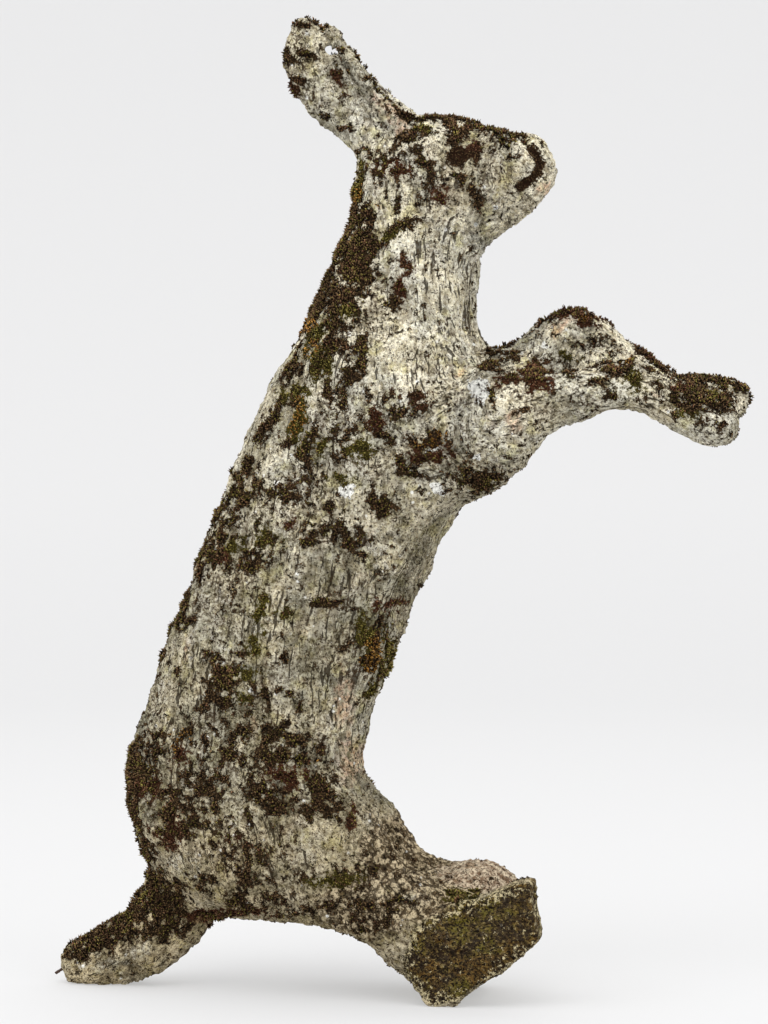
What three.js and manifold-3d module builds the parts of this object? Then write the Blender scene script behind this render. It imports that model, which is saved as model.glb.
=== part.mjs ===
// A hare garden statue, modelled by hand in cement: a leaping hare that stands upright on the tip of its
// tail and the cut-off stub of its hind feet. +Z is up, +X is the way the hare faces, and the photographed
// side faces -Y. The origin is at the bottom centre of the whole part. Lengths are in millimetres.
import * as THREE from "three";
import { mergeVertices } from "three/addons/utils/BufferGeometryUtils.js";
import Module from "manifold-3d";

// Overall height from the ground to the tips of the ears. The figure is free form: its pose, its
// proportions and its carving are given in thousandths of this height.
const HEIGHT = 780;
const THOUSANDTH = HEIGHT / 1000;

// The iron wire that the tail was modelled over, and the hole that it leaves at the tip
const WIRE_DIAMETER = 2.4;
const WIRE_SHOWING = 6;
const WIRE_BEDDED = 12;
const WIRE_CLEARANCE = 0.3;
const WIRE_SIDES = 12;

// The cut block of the near hind foot
const BLOCK_THICKNESS = 38;
const BLOCK_CHIP = 2.5;

// The stations of each limb, from its root to its end, in thousandths of the height:
// [x, y, z, radius in the plane of the profile, radius across the body].
const TRUNK = [
  [-171, 0, 177, 106, 74],
  [-170, 0, 212, 121, 80],
  [-160, 0, 260, 114, 78],
  [-140, 0, 329, 111, 74],
  [-114, 0, 395, 111, 73],
  [-87, 0, 459, 112, 74],
  [-64, 0, 513, 116, 77],
  [-44, 0, 564, 112, 77],
  [-24, 0, 618, 99, 72],
  [-12, 0, 672, 86, 64],
  [1, 0, 731, 74, 56],
  [16, 0, 785, 63, 51],
  [20, 0, 827, 58, 49],
];
const HEAD = [
  [8, 0, 832, 55, 49],
  [51, 0, 826, 58, 51],
  [82, 0, 828, 53, 44],
  [115, 0, 837, 40, 32],
];
const NEAR_EAR = [
  [-8, -18, 868, 36, 19],
  [-47, -18, 901, 35, 18],
  [-77, -18, 932, 38, 18],
  [-95, -17, 960, 30, 16],
  [-97, -15, 975, 25, 13],
];
const FAR_EAR = [
  [-2, 18, 866, 25, 19],
  [-43, 18, 902, 25, 17],
  [-70, 18, 932, 29, 17],
  [-83, 17, 962, 27, 15],
  [-88, 15, 975, 24, 13],
];
const NEAR_ARM = [
  [-38, -31, 641, 44, 44],
  [20, -36, 582, 76, 44],
  [64, -31, 570, 67, 41],
  [119, -31, 591, 40, 33],
  [164, -31, 602, 27, 28],
  [205, -28, 612, 20, 26],
  [244, -26, 614, 20, 24],
  [273, -23, 599, 20, 23],
  [303, -23, 582, 22, 23],
  [320, -23, 576, 21, 22],
];
const FAR_ARM = [
  [-38, 31, 641, 44, 44],
  [20, 36, 584, 74, 44],
  [72, 33, 597, 55, 41],
  [126, 33, 634, 34, 34],
  [170, 33, 660, 40, 33],
  [203, 31, 644, 32, 30],
  [236, 28, 626, 25, 26],
  [265, 26, 612, 21, 24],
  [301, 23, 606, 25, 24],
  [327, 23, 603, 23, 23],
];
const NEAR_LEG = [
  [-135, -38, 170, 90, 51],
  [-76, -44, 142, 69, 48],
  [-20, -46, 103, 45, 38],
  [36, -46, 66, 46, 34],
];
const FAR_LEG = [
  [-135, 38, 170, 90, 51],
  [-76, 44, 142, 69, 48],
  [-20, 44, 104, 46, 40],
  [36, 36, 82, 48, 43],
  [72, 22, 86, 48, 54],
];
const HEEL = [
  [23, 10, 60, 42, 58],
  [52, 12, 36, 45, 62],
];
const TAIL = [
  [-236, 0, 92, 42, 36],
  [-266, 0, 50, 35, 32],
  [-295, 0, 34, 34, 29],
  [-320, 0, 25, 28, 26],
  [-342, 0, 20, 24, 22],
];

// How far the cement is smoothed into the crease where two limbs meet, in thousandths
const NECK_CREASE = 36;
const SHOULDER_CREASE = 40;
const HAUNCH_CREASE = 32;
const TAIL_CREASE = 12;
const EAR_CREASE = 7;
const STEPS_BETWEEN_STATIONS = 3;

// Outline of the cut block in the plane of the profile, in thousandths
const BLOCK_OUTLINE = [
  [18, 36],
  [24, 18],
  [35, 4],
  [42, -4],
  [62, -4],
  [76, 16],
  [111, 35],
  [148, 68],
  [143, 98],
  [139, 125],
  [126, 123],
  [90, 108],
  [66, 104],
  [40, 91],
  [22, 65],
];
const BLOCK_INNER_FACE = -34;

// Hand-modelled unevenness of the surface, in thousandths
const LUMP_DEPTH = 2.2;
const LUMP_LENGTH = 58;

// Eye sockets, mouth and the gap between the ears, in thousandths
const EYE = { x: 63, z: 848, radius: 12.5, depth: 5 };
const MOUTH = { points: [[133, 858], [143, 838], [135, 822], [122, 813]], radius: 3.6 };
const EAR_GAP = { x: -77, z: 965, long: 10, high: 7, turn: 12, rise: 9, slope: -20 };

// A place on the wire inside the tail, in thousandths, and how steeply the wire falls there, in degrees
const WIRE_START = { x: -331, z: 40, fall: 38 };

// Spacing of the net that the surface is drawn on, in thousandths, by bands of height. Grid points that
// nearly touch the skin count as at least NET_LEAST away from it, so that no triangle shrinks to nothing.
const NET_LEAST = 2.2;
const NET_ALONG = 16.6;
const NET_ACROSS = 15;
const NET_BANDS = [
  [-26, 130, 14],
  [130, 560, 21],
  [560, 860, 15.5],
  [860, 1010, 11.5],
];
const NET_LENGTH = [-385, 365];
const NET_WIDTH = [-115, 115];
const EVENING_ROUNDS = 2;
const SETTLING_ROUNDS = 3;
const SEARCH_ROUNDS = 30;

// Farther than the skin lies from the middle plane, or from the start of the wire
const BEYOND_SKIN = 200 * THOUSANDTH;

const wasm = await Module();
wasm.setup();

// A limb as a chain of short links with its radii eased from station to station
function limb(stations) {
  const centres = new THREE.CatmullRomCurve3(stations.map(([x, y, z]) => new THREE.Vector3(x, y, z)));
  const radii = new THREE.CatmullRomCurve3(stations.map((row) => new THREE.Vector3(row[3], row[4], 0)));
  const count = (stations.length - 1) * STEPS_BETWEEN_STATIONS;
  const links = [];
  for (let step = 0; step <= count; step += 1) {
    const centre = centres.getPoint(step / count).multiplyScalar(THOUSANDTH);
    const radius = radii.getPoint(step / count).multiplyScalar(THOUSANDTH);
    links.push({ x: centre.x, y: centre.y, z: centre.z, deep: radius.x, wide: radius.y });
  }
  return links;
}

// Distance from a point to the skin of one limb, negative inside
function distanceToLimb(links, x, y, z) {
  let nearest = Infinity;
  for (let index = 0; index + 1 < links.length; index += 1) {
    const a = links[index];
    const b = links[index + 1];
    const runX = b.x - a.x;
    const runY = b.y - a.y;
    const runZ = b.z - a.z;
    const along = (x - a.x) * runX + (y - a.y) * runY + (z - a.z) * runZ;
    const share = Math.min(1, Math.max(0, along / (runX * runX + runY * runY + runZ * runZ)));
    const awayX = x - a.x - share * runX;
    const awayY = y - a.y - share * runY;
    const awayZ = z - a.z - share * runZ;
    const deep = a.deep + share * (b.deep - a.deep);
    const wide = a.wide + share * (b.wide - a.wide);
    const away = Math.hypot(awayX, awayY, awayZ);
    const reach = Math.hypot(Math.hypot(awayX, awayZ) / deep, awayY / wide);
    const distance = reach > 0.01 ? away * (1 - 1 / reach) : -Math.min(deep, wide);
    nearest = Math.min(nearest, distance);
  }
  return nearest;
}

// Two distances joined with the crease between them filled
function blend(a, b, crease) {
  const overlap = Math.max(crease - Math.abs(a - b), 0) / crease;
  return Math.min(a, b) - (overlap * overlap * crease) / 4;
}

const trunk = limb(TRUNK);
const joinedLimbs = [
  [HEAD, NECK_CREASE],
  [NEAR_ARM, SHOULDER_CREASE],
  [FAR_ARM, SHOULDER_CREASE],
  [NEAR_LEG, HAUNCH_CREASE],
  [FAR_LEG, HAUNCH_CREASE],
  [HEEL, HAUNCH_CREASE],
  [TAIL, TAIL_CREASE],
  [NEAR_EAR, EAR_CREASE],
  [FAR_EAR, EAR_CREASE],
].map(([stations, crease]) => ({ links: limb(stations), crease: crease * THOUSANDTH }));

// Low waves left by the hands that modelled the figure
function lumps(x, y, z) {
  const wave = (2 * Math.PI) / (LUMP_LENGTH * THOUSANDTH);
  const first = Math.sin(wave * (x + 0.6 * z)) * Math.cos(wave * (y - 0.3 * x));
  const second = Math.sin(1.7 * wave * (z - 0.5 * y) + 1.1) * Math.cos(1.4 * wave * (x + y) + 0.4);
  return LUMP_DEPTH * THOUSANDTH * 0.5 * (first + second);
}

// The skin of the whole figure
function figure(x, y, z) {
  let distance = distanceToLimb(trunk, x, y, z);
  for (const { links, crease } of joinedLimbs) {
    distance = blend(distance, distanceToLimb(links, x, y, z), crease);
  }
  return distance + lumps(x, y, z);
}

// Slope of the skin's distance at a point
function slope(x, y, z) {
  const reach = THOUSANDTH / 2;
  return [
    (figure(x + reach, y, z) - figure(x - reach, y, z)) / (2 * reach),
    (figure(x, y + reach, z) - figure(x, y - reach, z)) / (2 * reach),
    (figure(x, y, z + reach) - figure(x, y, z - reach)) / (2 * reach),
  ];
}

// A point near the skin moved onto it
function settle(point) {
  let [x, y, z] = point;
  for (let round = 0; round < SETTLING_ROUNDS; round += 1) {
    const distance = figure(x, y, z);
    const [gx, gy, gz] = slope(x, y, z);
    const share = distance / Math.max(gx * gx + gy * gy + gz * gz, 0.2);
    x -= share * gx;
    y -= share * gy;
    z -= share * gz;
  }
  return [x, y, z];
}

function evenLines(from, to, spacing) {
  const count = Math.ceil((to - from) / spacing);
  return Array.from({ length: count + 1 }, (_, index) => (from + ((to - from) * index) / count) * THOUSANDTH);
}

function bandLines(bands) {
  const lines = bands.flatMap(([from, to, spacing]) => evenLines(from, to, spacing).slice(0, -1));
  lines.push(bands.at(-1)[1] * THOUSANDTH);
  return lines;
}

// A closed net of triangles over the skin: one vertex in each cell of the grid that the skin crosses, and
// one four-sided patch for each grid edge that it crosses
function netOverFigure(lines) {
  const [countX, countY, countZ] = lines.map((row) => row.length);
  const at = (i, j, k) => (k * countY + j) * countX + i;
  const values = new Float64Array(countX * countY * countZ);
  for (let k = 0; k < countZ; k += 1) {
    for (let j = 0; j < countY; j += 1) {
      for (let i = 0; i < countX; i += 1) {
        const distance = figure(lines[0][i], lines[1][j], lines[2][k]);
        values[at(i, j, k)] = (distance < 0 ? -1 : 1) * Math.max(Math.abs(distance), NET_LEAST * THOUSANDTH);
      }
    }
  }
  const axes = [[1, 0, 0], [0, 1, 0], [0, 0, 1]];
  const sides = [[0, 0], [1, 0], [1, 1], [0, 1]];

  // A grid square with the skin between all four of its corners would pinch the net, so the corner nearest
  // to the skin goes over to the other side
  function unpinch() {
    let pinched = 0;
    for (let k = 0; k < countZ - 1; k += 1) {
      for (let j = 0; j < countY - 1; j += 1) {
        for (let i = 0; i < countX - 1; i += 1) {
          for (let axis = 0; axis < 3; axis += 1) {
            const corners = sides.map(([second, third]) => {
              const corner = [i, j, k];
              corner[(axis + 1) % 3] += second;
              corner[(axis + 2) % 3] += third;
              return at(...corner);
            });
            const inside = corners.map((corner) => values[corner] < 0);
            if (inside[0] === inside[2] && inside[1] === inside[3] && inside[0] !== inside[1]) {
              corners.sort((a, b) => Math.abs(values[a]) - Math.abs(values[b]));
              values[corners[0]] *= -1;
              pinched += 1;
            }
          }
        }
      }
    }
    return pinched;
  }
  while (unpinch() > 0);

  const vertices = [];
  const vertexOfCell = new Map();

  function cellVertex(i, j, k) {
    const cell = at(i, j, k);
    if (vertexOfCell.has(cell)) {
      return vertexOfCell.get(cell);
    }
    const sum = [0, 0, 0];
    let crossings = 0;
    for (let axis = 0; axis < 3; axis += 1) {
      for (const [second, third] of sides) {
        const start = [i, j, k];
        start[(axis + 1) % 3] += second;
        start[(axis + 2) % 3] += third;
        const end = start.map((value, index) => value + axes[axis][index]);
        const from = values[at(...start)];
        const to = values[at(...end)];
        if (from < 0 !== to < 0) {
          const share = from / (from - to);
          for (let index = 0; index < 3; index += 1) {
            const a = lines[index][start[index]];
            const b = lines[index][end[index]];
            sum[index] += a + share * (b - a);
          }
          crossings += 1;
        }
      }
    }
    vertices.push(settle(sum.map((value) => value / crossings)));
    vertexOfCell.set(cell, vertices.length - 1);
    return vertices.length - 1;
  }

  const patches = [];
  for (let k = 1; k < countZ - 1; k += 1) {
    for (let j = 1; j < countY - 1; j += 1) {
      for (let i = 1; i < countX - 1; i += 1) {
        for (let axis = 0; axis < 3; axis += 1) {
          const from = values[at(i, j, k)];
          const to = values[at(i + axes[axis][0], j + axes[axis][1], k + axes[axis][2])];
          if (from < 0 === to < 0) {
            continue;
          }
          const ring = sides.map(([second, third]) => {
            const cell = [i, j, k];
            cell[(axis + 1) % 3] -= 1 - second;
            cell[(axis + 2) % 3] -= 1 - third;
            return cellVertex(...cell);
          });
          if (from > 0) {
            ring.reverse();
          }
          patches.push(ring);
        }
      }
    }
  }
  evenOut(vertices, patches);
  return solid(new Float32Array(vertices.flat()), new Uint32Array(split(vertices, patches)));
}

// Each vertex of the net drawn towards the middle of its neighbours, and then back onto the skin
function evenOut(vertices, patches) {
  for (let round = 0; round < EVENING_ROUNDS; round += 1) {
    const sums = vertices.map(() => [0, 0, 0, 0]);
    for (const ring of patches) {
      ring.forEach((vertex, corner) => {
        const next = vertices[ring[(corner + 1) % 4]];
        const last = vertices[ring[(corner + 3) % 4]];
        for (let index = 0; index < 3; index += 1) {
          sums[vertex][index] += next[index] + last[index];
        }
        sums[vertex][3] += 2;
      });
    }
    sums.forEach((sum, vertex) => {
      const middle = vertices[vertex].map((value, index) => (value + sum[index] / sum[3]) / 2);
      vertices[vertex] = settle(middle);
    });
  }
}

// Each four-sided patch split along its shorter diagonal
function split(vertices, patches) {
  const gap = (a, b) => Math.hypot(...vertices[a].map((value, index) => value - vertices[b][index]));
  return patches.flatMap(([a, b, c, d]) => (gap(a, c) < gap(b, d) ? [a, b, c, a, c, d] : [b, c, d, b, d, a]));
}

function solid(vertProperties, triVerts) {
  return new wasm.Manifold(new wasm.Mesh({ numProp: 3, vertProperties, triVerts }));
}

// A three.js shape as a solid for joining and cutting
function solidFromGeometry(geometry) {
  geometry.deleteAttribute("normal");
  geometry.deleteAttribute("uv");
  const merged = mergeVertices(geometry, 0.0001);
  return solid(new Float32Array(merged.attributes.position.array), new Uint32Array(merged.index.array));
}

// The point where a line from inside the figure comes out of its skin
function wayOut(start, direction) {
  let inside = 0;
  let outside = BEYOND_SKIN;
  for (let round = 0; round < SEARCH_ROUNDS; round += 1) {
    const middle = (inside + outside) / 2;
    const point = start.clone().addScaledVector(direction, middle);
    if (figure(point.x, point.y, point.z) < 0) {
      inside = middle;
    } else {
      outside = middle;
    }
  }
  return start.clone().addScaledVector(direction, inside);
}

// The point of the skin at a place of the profile, on the near side (-1) or the far side (1)
function skinPoint(x, z, side) {
  const start = new THREE.Vector3(x * THOUSANDTH, 0, z * THOUSANDTH);
  return wayOut(start, new THREE.Vector3(0, side, 0));
}

// The flat-faced block where the near hind foot was cut off
function cutBlock() {
  const outline = BLOCK_OUTLINE.map(([x, z]) => new THREE.Vector2(x * THOUSANDTH, z * THOUSANDTH));
  const block = new THREE.ExtrudeGeometry(new THREE.Shape(outline), {
    depth: BLOCK_THICKNESS - 2 * BLOCK_CHIP,
    bevelThickness: BLOCK_CHIP,
    bevelSize: BLOCK_CHIP,
    bevelOffset: -BLOCK_CHIP,
    bevelSegments: 1,
  });
  block.rotateX(Math.PI / 2);
  block.translate(0, BLOCK_INNER_FACE * THOUSANDTH - BLOCK_CHIP, 0);
  return solidFromGeometry(block);
}

// Everything below the ground line, which leaves the flats that the statue stands on
function ground() {
  const size = 2 * HEIGHT;
  const block = new THREE.BoxGeometry(size, size, size);
  block.translate(0, 0, -size / 2);
  return solidFromGeometry(block);
}

// A round socket for the eye
function eyeSocket(side) {
  const radius = EYE.radius * THOUSANDTH;
  const skin = skinPoint(EYE.x, EYE.z, side);
  const ball = new THREE.SphereGeometry(radius, 10, 7);
  ball.translate(skin.x, skin.y + side * (radius - EYE.depth * THOUSANDTH), skin.z);
  return solidFromGeometry(ball);
}

// The groove of the nostril and mouth
function mouthGroove(side) {
  const points = MOUTH.points.map(([x, z]) => skinPoint(x, z, side));
  const section = new THREE.Shape().absarc(0, 0, MOUTH.radius * THOUSANDTH, 0, 2 * Math.PI);
  return solidFromGeometry(new THREE.ExtrudeGeometry(section, {
    steps: 8,
    curveSegments: 3,
    extrudePath: new THREE.CatmullRomCurve3(points),
  }));
}

// The small gap through the pair of ears, where they touch only at their tips
function earGap() {
  const length = BEYOND_SKIN;
  const shape = new THREE.Shape().absellipse(0, 0, EAR_GAP.long * THOUSANDTH, EAR_GAP.high * THOUSANDTH,
    0, 2 * Math.PI, false, THREE.MathUtils.degToRad(EAR_GAP.slope));
  const hole = new THREE.ExtrudeGeometry(shape, { depth: length, bevelEnabled: false, curveSegments: 5 });
  hole.translate(0, 0, -length / 2);
  hole.rotateX(Math.PI / 2 + THREE.MathUtils.degToRad(EAR_GAP.rise));
  hole.rotateZ(THREE.MathUtils.degToRad(EAR_GAP.turn));
  hole.translate(EAR_GAP.x * THOUSANDTH, 0, EAR_GAP.z * THOUSANDTH);
  return solidFromGeometry(hole);
}

// The line of the wire at the tip of the tail, as a place inside it and a direction
const wireStart = new THREE.Vector3(WIRE_START.x, 0, WIRE_START.z).multiplyScalar(THOUSANDTH);
const wireFall = THREE.MathUtils.degToRad(WIRE_START.fall);
const wireDirection = new THREE.Vector3(-Math.cos(wireFall), 0, -Math.sin(wireFall));

// A rod along the wire's line, from a depth inside the tail to a reach outside it
function rod(diameter, bedded, showing) {
  const shape = new THREE.CylinderGeometry(diameter / 2, diameter / 2, bedded + showing, WIRE_SIDES);
  shape.translate(0, (showing - bedded) / 2, 0);
  shape.applyQuaternion(new THREE.Quaternion().setFromUnitVectors(new THREE.Vector3(0, 1, 0), wireDirection));
  const exit = wayOut(wireStart, wireDirection);
  shape.translate(exit.x, exit.y, exit.z);
  return shape;
}

function meshOf(name, geometry, material) {
  const mesh = new THREE.Mesh(geometry, material);
  mesh.name = name;
  return mesh;
}

function hare() {
  const netX = evenLines(...NET_LENGTH, NET_ALONG);
  const netY = evenLines(...NET_WIDTH, NET_ACROSS);
  let body = netOverFigure([netX, netY, bandLines(NET_BANDS)]);
  body = body.add(cutBlock());
  const hole = rod(WIRE_DIAMETER + 2 * WIRE_CLEARANCE, WIRE_BEDDED + WIRE_CLEARANCE, WIRE_SHOWING);
  const cutters = [ground(), earGap(), solidFromGeometry(hole)];
  for (const side of [-1, 1]) {
    cutters.push(eyeSocket(side), mouthGroove(side));
  }
  for (const cutter of cutters) {
    body = body.subtract(cutter);
  }
  const cut = body.getMesh();
  const geometry = new THREE.BufferGeometry();
  geometry.setAttribute("position", new THREE.BufferAttribute(cut.vertProperties, 3));
  geometry.setIndex(new THREE.BufferAttribute(cut.triVerts, 1));
  geometry.computeVertexNormals();
  const cement = new THREE.MeshStandardMaterial({ color: 0x9b9582, roughness: 0.95, metalness: 0 });
  return meshOf("hare", geometry, cement);
}

function tailWire() {
  const iron = new THREE.MeshStandardMaterial({ color: 0x3b322c, roughness: 0.8, metalness: 0.6 });
  return meshOf("tail_wire", rod(WIRE_DIAMETER, WIRE_BEDDED, WIRE_SHOWING), iron);
}

const statue = new THREE.Group();
statue.add(hare(), tailWire());
const box = new THREE.Box3().setFromObject(statue);
statue.position.set(-(box.min.x + box.max.x) / 2, -(box.min.y + box.max.y) / 2, -box.min.z);

export default statue;
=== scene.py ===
import math
from itertools import product

import bpy
import numpy as np
from mathutils.kdtree import KDTree
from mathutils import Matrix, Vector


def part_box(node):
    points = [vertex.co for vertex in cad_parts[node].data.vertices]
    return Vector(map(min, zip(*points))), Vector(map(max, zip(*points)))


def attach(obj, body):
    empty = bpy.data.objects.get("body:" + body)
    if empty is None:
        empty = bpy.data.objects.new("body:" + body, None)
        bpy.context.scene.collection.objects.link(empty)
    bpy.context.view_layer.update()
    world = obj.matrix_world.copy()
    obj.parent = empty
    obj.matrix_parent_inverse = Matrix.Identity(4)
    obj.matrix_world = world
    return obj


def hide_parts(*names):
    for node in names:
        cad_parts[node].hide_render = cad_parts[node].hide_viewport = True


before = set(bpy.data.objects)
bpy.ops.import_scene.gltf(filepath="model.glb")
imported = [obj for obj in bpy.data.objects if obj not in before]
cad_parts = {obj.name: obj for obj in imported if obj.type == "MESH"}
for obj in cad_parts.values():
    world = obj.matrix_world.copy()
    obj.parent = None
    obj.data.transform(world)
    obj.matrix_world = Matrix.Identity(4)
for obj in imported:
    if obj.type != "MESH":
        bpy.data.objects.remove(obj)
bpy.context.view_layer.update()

MM = 0.001
PICTURE_WIDTH = 768
PICTURE_HEIGHT = 1024
SENSOR = 36.0
LENS = 101.3
FOCAL_PIXELS = LENS / SENSOR * PICTURE_HEIGHT
CAMERA_TURN = math.radians(11)
CAMERA_DISTANCE = 2.3
CAMERA_HEIGHT = 0.383
AIM_X = -0.0086

sight = np.array([-math.sin(CAMERA_TURN), math.cos(CAMERA_TURN), 0])
rightward = np.array([math.cos(CAMERA_TURN), math.sin(CAMERA_TURN), 0])
eye = np.array([AIM_X, 0, CAMERA_HEIGHT]) - CAMERA_DISTANCE * sight

camera = bpy.data.objects.new("camera", bpy.data.cameras.new("camera"))
camera.data.lens = LENS
camera.data.sensor_width = SENSOR
camera.location = eye
camera.rotation_euler = (math.pi / 2, 0, CAMERA_TURN)
bpy.context.collection.objects.link(camera)
bpy.context.scene.camera = camera


def seen_at(points):
    """Where the view shows points of the object, as pixels from the left and from the top."""
    away = points - eye
    depth = away @ sight
    left = PICTURE_WIDTH / 2 + FOCAL_PIXELS * (away @ rightward) / depth
    return left, PICTURE_HEIGHT / 2 - FOCAL_PIXELS * away[:, 2] / depth


# The statue's own wire: the end of the iron wire that the tail was modelled over. It sticks out of the
# tip of the tail, bent a little, pitted and brown with rust.
WIRE_RADIUS = 1.2 * MM
WIRE_BEND = 0.5 * MM
WIRE_STEPS = 26
WIRE_SIDES = 14
RUST_PITS = 0.16


def scattered(cells, seed):
    """Repeatable numbers from 0 to 1, one for each whole-numbered cell of space."""
    x, y, z = (cells[..., axis].astype(np.uint32) for axis in range(3))
    mixed = x * np.uint32(73856093) ^ y * np.uint32(19349663) ^ z * np.uint32(83492791)
    mixed = mixed + np.uint32(seed * 40503 + 977)
    mixed = (mixed ^ (mixed >> 15)) * np.uint32(2246822519)
    mixed = (mixed ^ (mixed >> 13)) * np.uint32(3266489917)
    return (mixed ^ (mixed >> 16)) / 2.0**32


def waves(points, length, seed):
    """Smooth unevenness from -1 to 1, whose humps are about that long."""
    place = points / length
    cell = np.floor(place).astype(np.int64)
    share = place - cell
    share = share * share * (3 - 2 * share)
    total = np.zeros(len(points))
    for corner in product((0, 1), repeat=3):
        weight = np.prod(np.where(corner, share, 1 - share), axis=1)
        total += weight * scattered(cell + np.array(corner), seed)
    return 2 * total - 1


def new_piece(name, mesh, material, *nodes):
    """A finished piece of the statue, which stands for the CAD nodes that are named."""
    piece = bpy.data.objects.new(name, mesh)
    mesh.materials.clear()
    mesh.materials.append(material)
    bpy.context.collection.objects.link(piece)
    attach(piece, "root")
    if nodes:
        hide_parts(*nodes)
    return piece


def new_material(name, settings):
    """A material, with its node tree and its shader, which takes the settings."""
    material = bpy.data.materials.new(name)
    material.use_nodes = True
    shader = material.node_tree.nodes["Principled BSDF"]
    for setting, value in settings.items():
        shader.inputs[setting].default_value = value
    return material, material.node_tree, shader


def add(source, kind, links=(), **settings):
    """A node in a tree, or in the tree that a socket belongs to. Its inputs are given by name or number,
    as values or as the sockets that feed them."""
    tree = source if isinstance(source, bpy.types.NodeTree) else source.id_data
    node = tree.nodes.new("ShaderNode" + kind)
    for name, value in settings.items():
        setattr(node, name, value)
    for name, value in dict(links).items():
        if isinstance(value, bpy.types.NodeSocket):
            tree.links.new(value, node.inputs[name])
        else:
            node.inputs[name].default_value = value
    return node


def ramp(value, low, high):
    """Zero below low, one above high, and a smooth rise between them."""
    links = {"Value": value, "From Min": low, "From Max": high}
    return add(value, "MapRange", links, interpolation_type="SMOOTHSTEP").outputs["Result"]


def sum_of(first, second, operation="ADD"):
    return add(first, "Math", {0: first, 1: second}, operation=operation).outputs[0]


def rest_of(first, second):
    return sum_of(first, second, "SUBTRACT")


def opposite(share):
    """One less the share."""
    return add(share, "Math", {0: 1.0, 1: share}, operation="SUBTRACT").outputs[0]


def times(first, second):
    return sum_of(first, second, "MULTIPLY")


def larger_of(first, second):
    return sum_of(first, second, "MAXIMUM")


def blended(share, first, second):
    """The first colour where the share is 0, and the second where it is 1."""
    return add(share, "Mix", {0: share, 6: first, 7: second}, data_type="RGBA").outputs[2]


def lit_by(share, tone, factor):
    """The tone times the factor where the share is 1, and unchanged where it is 0."""
    links = {0: share, 6: tone, 7: factor}
    return add(tone, "Mix", links, data_type="RGBA", blend_type="MULTIPLY").outputs[2]


def grain(place, size, detail=2, roughness=0.5):
    """Cloudy noise from 0 to 1, with clouds of about that size in metres."""
    links = {"Vector": place, "Scale": 1 / size, "Detail": detail, "Roughness": roughness}
    return add(place, "TexNoise", links).outputs["Fac"]


def colour(red, green, blue):
    """A colour as the eye sees it, from 0 to 255, in the linear form that a shader takes."""
    return tuple((part / 255) ** 2.2 for part in (red, green, blue)) + (1.0,)


def rusty_iron():
    material, tree, shader = new_material("rusty_iron", {"Metallic": 0.25, "Roughness": 0.82})
    place = add(tree, "TexCoord").outputs["Object"]
    flakes = grain(place, 0.9 * MM, 4, 0.65)
    browns = blended(ramp(flakes, 0.38, 0.62), colour(44, 40, 38), colour(98, 74, 58))
    tree.links.new(browns, shader.inputs["Base Color"])
    bump = add(tree, "Bump", {"Height": flakes, "Distance": 0.2 * MM, "Strength": 0.8})
    tree.links.new(bump.outputs[0], shader.inputs["Normal"])
    return material


def wire_mesh():
    low, high = (np.array(corner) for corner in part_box("tail_wire"))
    middle = (low[1] + high[1]) / 2
    inner = np.array([high[0] - WIRE_RADIUS, middle, high[2] - WIRE_RADIUS])
    tip = np.array([low[0] + WIRE_RADIUS / 2, middle, low[2] + WIRE_RADIUS])
    run = (tip - inner) / np.linalg.norm(tip - inner)
    upward = np.array([-run[2], 0, run[0]])
    sideways = np.array([0.0, 1.0, 0.0])
    points = [inner]
    for step in range(WIRE_STEPS + 1):
        share = step / WIRE_STEPS
        centre = inner + (tip - inner) * share + upward * WIRE_BEND * math.sin(3 * share)
        for side in range(WIRE_SIDES):
            angle = 2 * math.pi * side / WIRE_SIDES
            points.append(centre + WIRE_RADIUS * (math.cos(angle) * sideways + math.sin(angle) * upward))
    points = np.array(points + [tip + run * 0.3 * WIRE_RADIUS])
    centres = np.repeat(np.linspace(inner, tip, WIRE_STEPS + 1), WIRE_SIDES, axis=0)
    pitted = 1 + RUST_PITS * waves(points[1:-1], 0.9 * MM, 5)
    points[1:-1] = centres + (points[1:-1] - centres) * pitted[:, None]
    faces = []
    for side in range(WIRE_SIDES):
        beside = (side + 1) % WIRE_SIDES
        faces.append((0, 1 + side, 1 + beside))
        last = 1 + WIRE_STEPS * WIRE_SIDES
        faces.append((last + beside, last + side, len(points) - 1))
        for step in range(WIRE_STEPS):
            first = 1 + step * WIRE_SIDES
            onward = first + WIRE_SIDES
            faces.append((first + side, onward + side, onward + beside, first + beside))
    mesh = bpy.data.meshes.new("tail_wire_end")
    mesh.from_pydata(points.tolist(), [], faces)
    mesh.shade_smooth()
    return mesh


new_piece("tail_wire_end", wire_mesh(), rusty_iron(), "tail_wire")

# The hare itself: soft grey cement put on by hand, combed and cut with a blade for fur while it was wet,
# then worn by decades of weather. It is one piece, cut off flat at the near hind foot.
FIRST_VOXEL = 2.3 * MM
FINE_VOXEL = 1.55 * MM
MOST_TRIANGLES = 196000
SMOOTHING_ROUNDS = 16
SWELL = 0.3 * MM
CUSHION_SIZE = 9 * MM

# The near hind foot's cut face stays sharp: right of this pixel, nearer and lower than this
SHARP_FROM = 455
FACE_DEPTH = -24 * MM
FEET_HEIGHT = 110 * MM
SHARP_SHARE = 0.12

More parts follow.
